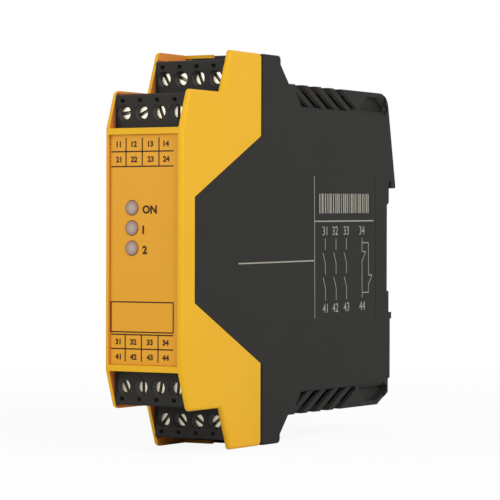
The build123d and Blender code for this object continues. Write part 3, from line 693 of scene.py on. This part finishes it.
mouldings = [rounded(name, *how) for name, how in ROUNDED.items()]
print("rounded:", len(mouldings), "faces:", [len(piece.data.polygons) for piece in mouldings])

# %% [markdown]
# Under the rail seat a compression spring pushes the latch up, between a peg on the housing and the
# latch's window. It is coiled from round steel wire, and its first and last turns are closed, so it
# stands flat at both ends. A curve with a bevel depth could be the wire, but a swept grid puts the
# closed turns exactly where they belong.

# %% Latch spring
WIRE = 0.45 * MM
OPEN_TURNS, CLOSED_TURNS = 6, 1
WIRE_SIDES, TURN_STEPS = 12, 36
WIRE_CREASE = math.radians(40)
coil_low, coil_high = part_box("latch_spring")


def coil():
    """
    Rings of points around the wire's middle line, a helix whose pitch is one wire in the closed turns and
    an even share of the rest in the open ones. The first and the last ring shrink to that line.
    """
    turns = OPEN_TURNS + 2 * CLOSED_TURNS
    turn = np.linspace(0, turns, turns * TURN_STEPS + 1)
    spread = np.clip(turn - CLOSED_TURNS, 0, OPEN_TURNS)
    pitch = (coil_high.z - coil_low.z - WIRE * (1 + 2 * CLOSED_TURNS)) / OPEN_TURNS
    height = coil_low.z + WIRE / 2 + (turn - spread) * WIRE + spread * pitch
    turn, height = (np.concatenate([row[:1], row, row[-1:]]) for row in (turn, height))
    thickness = np.full(len(turn), WIRE / 2)
    thickness[[0, -1]] = 0
    around = np.linspace(0, 2 * np.pi, WIRE_SIDES + 1)
    radius = (coil_high.x - coil_low.x - WIRE) / 2 + np.outer(thickness, np.cos(around))
    angle = 2 * np.pi * turn[:, None]
    middle = (coil_low + coil_high) / 2
    return np.stack([
        middle.x + radius * np.cos(angle), middle.y + radius * np.sin(angle),
        height[:, None] + np.outer(thickness, np.sin(around)),
    ], axis=-1)


spring = make_piece("coiled_latch_spring", *shell(coil()), "spring_steel", "latch", "spring_steel",
                    WIRE_CREASE)
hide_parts("latch_spring")
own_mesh(spring)

# %% [markdown]
# Each terminal has a cheese-head screw with a straight slot, sunk in a round bore. The real screw is
# turned, its thread is rolled, and its slot is sawn. The head could be cut with a boolean, but that
# leaves long thin faces that shade badly. So its front is one grid instead. Its columns lie across the
# slot, and two columns meet at each wall of the slot, so the walls are straight and upright. The back
# sheet has the same outline, and a rim joins the two.

# %% Screw heads
SLOT_WIDTH = 0.9 * MM
SLOT_DEPTH = 0.8 * MM
HEAD_EDGE = 0.25 * MM
HEAD_THICKNESS = 1.6 * MM
SIDE_COLUMNS, SLOT_COLUMNS, HEAD_ROWS = 12, 5, 23


def head_grid(radius):
    """
    Front sheet of a head as (across the slot, along it, rise). At x across the slot, the rows lie at
    t * sqrt(R^2 - x^2) for t from -1 to 1. The rise is 0 on the flat, a quarter circle down near the rim,
    and the slot's depth down between its walls.
    """
    wall = SLOT_WIDTH / 2
    side = wall + (radius - wall) * np.sin(np.linspace(0, math.pi / 2, SIDE_COLUMNS))
    inner = np.linspace(-wall, wall, SLOT_COLUMNS)
    rows = np.sin(np.linspace(-1, 1, HEAD_ROWS) * math.pi / 2)
    x, t = np.meshgrid(np.concatenate([-side[::-1], inner, side]), rows, indexing="ij")
    y = t * np.sqrt(np.maximum(radius ** 2 - x ** 2, 0))
    inward = np.clip(radius - np.hypot(x, y), 0, HEAD_EDGE)
    rise = np.sqrt(HEAD_EDGE ** 2 - (HEAD_EDGE - inward) ** 2) - HEAD_EDGE
    rise[len(side):len(side) + len(inner)] = -SLOT_DEPTH
    return np.stack([x, y, rise], axis=2)


def closed_head(radius):
    """The front sheet, a flat back sheet with its outline, and the rims between their two long edges."""
    front = head_grid(radius)
    back = front.copy()
    back[:, :, 2] = -HEAD_THICKNESS
    rims = [np.stack([front[:, edge], back[:, edge]], axis=1) for edge in (0, -1)]
    return [front, back, *rims]


print("points across and along a head:", head_grid(1.7 * MM).shape[:2])

# %% [markdown]
# The shank carries a metric thread. A helix could be swept, but a thread is also just a round bar whose
# radius depends on how far along and how far round one is: each full turn moves the pattern on by one
# pitch.

# %% Screw threads
THREAD_PITCH = 0.45 * MM
THREAD_DEPTH = 0.2 * MM
SHANK_RADIUS = 1.25 * MM
SHANK_SUNK = 0.1 * MM
POINT = 0.3 * MM
ROUND, PITCH_RINGS = 32, 6


def shank_grid(length):
    """
    Round bar as (x, y, rise) from under the head to the tip. Its radius is R - h * |2 f - 1|, where f is
    the fraction of depth / pitch - angle / turn, and it narrows by the point's size at the very end.
    """
    rings = int((length - HEAD_THICKNESS) / THREAD_PITCH * PITCH_RINGS)
    depth = np.linspace(HEAD_THICKNESS - SHANK_SUNK, length, rings)
    angle = np.linspace(0, 2 * math.pi, ROUND + 1)
    depth, angle = np.meshgrid(depth, angle, indexing="ij")
    fraction = (depth / THREAD_PITCH - angle / (2 * math.pi)) % 1
    reach = SHANK_RADIUS - THREAD_DEPTH * np.abs(2 * fraction - 1)
    reach = np.minimum(reach, SHANK_RADIUS - POINT + (length - depth))
    grid = np.stack([reach * np.cos(angle), reach * np.sin(angle), -depth], axis=2)
    caps = [np.stack([end, end * [0, 0, 1]], axis=0) for end in (grid[0], grid[-1])]
    return [grid, *caps]


print("points along and around a shank of 9 mm:", shank_grid(9 * MM)[0].shape[:2])

# %% [markdown]
# The slot's floor lies in the shade of its walls, so it gets painted shade, much darker than the head. A
# box around a place could tell the floor apart, but a screw turns, so each point of the mesh says it
# instead: an attribute is 1 on the floor and 0 elsewhere, and the finish mixes in the painted shade by
# it. Whoever last turned the screws left them at any angle, and these are the angles of the photograph.

# %% Slotted screws
# The painted shade on the floor of each slot
PAINTED_SLOT_SHADE = "#7A6D5A"
FLOOR_SPREAD = 0.02 * MM
SCREW_CREASE = math.radians(35)
slot_shade_node = add(finishes["nickel_screw"], "Attribute", attribute_name="slot_shade")
overlay(finishes["nickel_screw"], slot_shade_node.outputs["Fac"], linear(PAINTED_SLOT_SHADE))

# Degrees from level, anticlockwise as seen from the front, of the slots in each row from left to right
SLOT_ANGLES = {
    "top_front": (8, 25, -68, 90),
    "top_rear": (-60, -25, -68, -48),
    "bottom_front": (-65, 90, 80, 85),
    "bottom_rear": (50, -48, -32, 40),
}


def mark_slot_shade(screw, front):
    """Attribute for the painted shade: 1 at the points that lie the slot's depth behind the front, else 0.
    """
    behind = points_of(screw.data)[:, 1] - front
    slot_shade = (np.abs(behind - SLOT_DEPTH) < FLOOR_SPREAD).astype(float)
    screw.data.attributes.new("slot_shade", "FLOAT", "POINT").data.foreach_set("value", slot_shade)


def make_screw(row, pole, angle):
    """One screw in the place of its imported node: its axis along Y, its slot turned by the angle."""
    name = f"screw_{row}_{pole}"
    low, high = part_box(name)
    radius = (high.x - low.x) / 2
    points, faces = shell(*closed_head(radius), *shank_grid(high.y - low.y))
    across, along, rise = points.T
    turn = math.radians(angle)
    x = (low.x + high.x) / 2 + along * math.cos(turn) - across * math.sin(turn)
    z = (low.z + high.z) / 2 + along * math.sin(turn) + across * math.cos(turn)
    screw = make_piece(f"slotted_{name}", np.stack([x, low.y - rise, z], axis=1), faces,
                       "nickel_screw", name, "nickel_screw", SCREW_CREASE)
    mark_slot_shade(screw, low.y)
    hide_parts(name)
    return screw


screws = [make_screw(row, pole + 1, angle)
          for row, angles in SLOT_ANGLES.items() for pole, angle in enumerate(angles)]
print("screws:", len(screws), "faces each:", len(screws[0].data.polygons))

# %% [markdown]
# The print is screen-printed ink: a film about 0.02 mm thick that stands on the surface, so each stroke
# is a very thin closed solid with real sides. Ink fills the grain under it, so it is smoother. The
# strokes are laid out on a flat sheet first, as right, up and lift, and then folded onto the front or
# the side. The sheet holds plain numbers, a grid, lines and switch symbols.

# %% Ink and rules
INK = 0.02 * MM
finishes["brown_ink"] = moulded("brown screen ink", "#47240F", "#3F1F0C", 0.4, 0.001 * MM)
finishes["grey_ink"] = moulded("grey screen ink", "#A3A194", "#99978A", 0.5, 0.001 * MM)
BOX_FACES = np.array([
    (0, 2, 1), (0, 3, 2), (4, 5, 6), (4, 6, 7), (0, 1, 5), (0, 5, 4),
    (1, 2, 6), (1, 6, 5), (2, 3, 7), (2, 7, 6), (3, 0, 4), (3, 4, 7),
])


def bar(start, end, width):
    """Printed line between two places (right, up) in mm: a box as wide as the line, as high as the ink."""
    start, end = np.array(start) * MM, np.array(end) * MM
    along = (end - start) / np.linalg.norm(end - start)
    across = np.array([-along[1], along[0]]) * width * MM / 2
    outline = np.array([start - across, end - across, end + across, start + across])
    return np.vstack([np.c_[outline, np.zeros(4)], np.c_[outline, np.full(4, INK)]]), BOX_FACES


print("points and faces of a rule:", *(len(part) for part in bar((0, 0), (1, 0), 0.3)))

# %% [markdown]
# Type is a Text object in Blender. Its outlines are filled and given a thickness, then made a mesh and
# scaled to the height of the real digits. The printed face is bold, so the outlines are pushed outwards
# a little.

# %% Type
BOLD = 0.045
OUTLINE_STEPS = 3


def letters(text, cap, place, from_left=False, weight=BOLD):
    """
    A line of type as thick as the ink and cap mm high, centred on a place (right, up) in mm, or starting
    there. The weight is how far the outlines move outwards, as a fraction of the type's size.
    """
    curve = bpy.data.curves.new("type", "FONT")
    curve.body = text
    curve.extrude = 0.5
    curve.offset = weight
    curve.resolution_u = OUTLINE_STEPS
    holder = bpy.data.objects.new("type", curve)
    mesh = bpy.data.meshes.new_from_object(holder)
    mesh.calc_loop_triangles()
    points = points_of(mesh)
    faces = np.empty(len(mesh.loop_triangles) * 3, dtype=int)
    mesh.loop_triangles.foreach_get("vertices", faces)
    low, high = points.min(axis=0), points.max(axis=0)
    scale = cap * MM / (high[1] - low[1])
    anchor = (low + high) / 2
    if from_left:
        anchor[0] = low[0]
    points = (points - anchor) * [scale, scale, INK] + [place[0] * MM, place[1] * MM, INK / 2]
    bpy.data.objects.remove(holder)
    bpy.data.curves.remove(curve)
    bpy.data.meshes.remove(mesh)
    return points, faces.reshape(-1, 3)


def sheet_of(parts):
    """Joins printed parts into one list of points and one of faces."""
    points, faces = zip(*parts)
    starts = np.cumsum([0] + [len(some) for some in points])
    return np.concatenate(points), np.concatenate([some + k for some, k in zip(faces, starts)])


print("points in one digit:", len(letters("4", 1.5, (0, 0))[0]))

# %% [markdown]
# The front film carries two grids of contact numbers, a frame for a hand-written mark, and three
# captions. Real modules list their terminals this way, in the order of the plugs beside them.

# %% Label print
film_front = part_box("front_label")[0].y
# Sizes and places on the film in mm, right and up from its middle. A row is its first digit and height.
LINE = 0.32
GRID_LEFT, GRID_RIGHT, GRID_END = -9.85, 8.1, 27.2
TOP_COLUMNS, TOP_LINES = (-5.57, -0.87, 3.93), (23.9, 20.27)
LOWER_COLUMNS, LOWER_LINES = (-5.7, -1.0, 3.8), (-20.63, -24.1)
TOP_ROWS, LOWER_ROWS = ((1, 25.7), (2, 22.0)), ((3, -22.4), (4, -26.05))
FRAME_TOP, FRAME_BOTTOM = -12.7, -20.0
DIGIT_CAP, CAPTION_CAP = 1.45, 2.1
CAPTION_LEFT, CAPTION_DROP = -0.8, 0.4
CAPTIONS = (("ON", 10.19), ("1", 5.28), ("2", 0.39))


def grid_numbers(columns, rows):
    """Contact numbers centred in the cells of a grid: first the digit of the row, then of the column."""
    edges = (GRID_LEFT, *columns, GRID_RIGHT)
    middles = [(left + right) / 2 for left, right in zip(edges, edges[1:])]
    return [letters(f"{digit}{k + 1}", DIGIT_CAP, (middle, height))
            for digit, height in rows for k, middle in enumerate(middles)]


def label_parts():
    """All bars and letters of the front film."""
    parts = [bar((x, GRID_END), (x, TOP_LINES[1]), LINE) for x in TOP_COLUMNS]
    parts += [bar((x, LOWER_LINES[0]), (x, -GRID_END), LINE) for x in LOWER_COLUMNS]
    parts += [bar((GRID_LEFT, z), (GRID_RIGHT, z), LINE) for z in (*TOP_LINES, *LOWER_LINES)]
    parts += [bar((GRID_LEFT, z), (GRID_RIGHT, z), LINE) for z in (FRAME_TOP, FRAME_BOTTOM)]
    parts += [bar((x, FRAME_TOP), (x, FRAME_BOTTOM), LINE) for x in (GRID_LEFT, GRID_RIGHT)]
    parts += grid_numbers(TOP_COLUMNS, TOP_ROWS)
    parts += grid_numbers(LOWER_COLUMNS, LOWER_ROWS)
    parts += [letters(text, CAPTION_CAP, (CAPTION_LEFT, height - CAPTION_DROP), from_left=True)
              for text, height in CAPTIONS]
    return parts


sheet, faces = sheet_of(label_parts())
folded = np.stack([sheet[:, 0], film_front - sheet[:, 2], sheet[:, 1]], axis=1)
label_print = make_piece("label_print", folded, faces, "brown_ink", "housing", "label_film")
print("label print faces:", len(label_print.data.polygons))

# %% [markdown]
# The black side carries the contact diagram in pale ink: two rows of numbers, three pairs of open
# switches, and a linked pair that is closed at rest. Above them is a field of uneven bars. The print
# lies in a shallow recess of the side, and sits a little askew about its corner, as hand-fed pad
# printing does, so the whole sheet is turned before it is folded onto the side.

# %% Side print
PRINT_RECESS = 0.05 * MM
SKEW = math.radians(0.7)
# Sizes and places on the side in mm, back from the front panel and up from the middle
PIVOT = (65.3, -3.0)
THIN, THICK = 0.24, 0.34
RULES = (
    ((65.2, 19.2), (65.2, -18.2), THIN),
    ((65.3, 7.3), (98.3, 7.3), THICK),
    ((26.25, -3.0), (65.4, -3.0), THICK),
)
BARS, FIELD = 26, (68.1, 95.2, 9.4, 14.6)
CONTACTS = (71.0, 76.9, 82.7)
LEAD_TOP, LEAD_LOW = 2.68, -0.35
BLADE_LEAN, BLADE_TOP, BLADE_FOOT = -1.27, -1.10, -3.84
SECOND = 6.5
LEAD_ENDS = (-6.72, -13.69)
CLOSED_LEFT, CLOSED_RIGHT = 91.6, 95.3
CLOSED_PATHS = (
    ((CLOSED_LEFT, LEAD_TOP), (CLOSED_LEFT, -1.05), (93.76, -1.06), (91.78, -3.54)),
    ((CLOSED_LEFT, -3.3), (CLOSED_LEFT, -13.51)),
    ((CLOSED_LEFT, 1.34), (CLOSED_RIGHT, 1.34), (CLOSED_RIGHT, -7.5), (97.34, -7.5), (95.47, -9.83)),
    ((CLOSED_RIGHT, -9.6), (CLOSED_RIGHT, -12.15), (CLOSED_LEFT, -12.15)),
)
NUMBER_CAP = 2.35
NUMBER_PLACES = (70.84, 76.47, 82.63, CLOSED_LEFT)
NUMBER_ROWS = ((3, 4.75), (4, -15.7))


def path(points, width=THIN):
    """Printed line through several places."""
    return [bar(a, b, width) for a, b in zip(points, points[1:])]


def open_contact(depth):
    """Two open switches in line: a lead, and then a leaning blade and its own lead for each."""
    parts = path([(depth, LEAD_TOP), (depth, LEAD_LOW)])
    for drop, end in zip((0, SECOND), LEAD_ENDS):
        parts += path([(depth + BLADE_LEAN, BLADE_TOP - drop), (depth, BLADE_FOOT - drop), (depth, end)])
    return parts


def bar_field(start, end, low, high):
    """Upright bars whose widths and gaps follow slow sines of their own number, and so tell nothing."""
    number = np.arange(BARS)
    widths = 0.5 + 0.22 * np.sin(number * 2.4) * np.sin(number * 0.9)
    gaps = 0.5 + 0.18 * np.sin(number * 1.7 + 1)
    edges = np.cumsum(widths + gaps)
    places = start + (end - start) * (edges - edges[0]) / (edges[-1] - edges[0])
    return [bar((place, low), (place, high), width) for place, width in zip(places, widths)]


def side_parts():
    """All bars and letters of the side."""
    parts = [bar(*rule) for rule in RULES] + bar_field(*FIELD)
    parts += [letters(f"{digit}{k + 1}", NUMBER_CAP, (depth, height), weight=0.0)
              for k, depth in enumerate(NUMBER_PLACES) for digit, height in NUMBER_ROWS]
    for depth in CONTACTS:
        parts += open_contact(depth)
    for points in CLOSED_PATHS:
        parts += path(points)
    return parts


sheet, faces = sheet_of(side_parts())
back, up = (sheet[:, k] - PIVOT[k] * MM for k in (0, 1))
depth = back * math.cos(SKEW) - up * math.sin(SKEW) + PIVOT[0] * MM
height = back * math.sin(SKEW) + up * math.cos(SKEW) + PIVOT[1] * MM
folded = np.stack([housing_high.x - PRINT_RECESS + sheet[:, 2], cad_low.y + depth, height], axis=1)
side_print = make_piece("side_print", folded, faces, "grey_ink", "housing", "black_housing")
print("side print faces:", len(side_print.data.polygons))
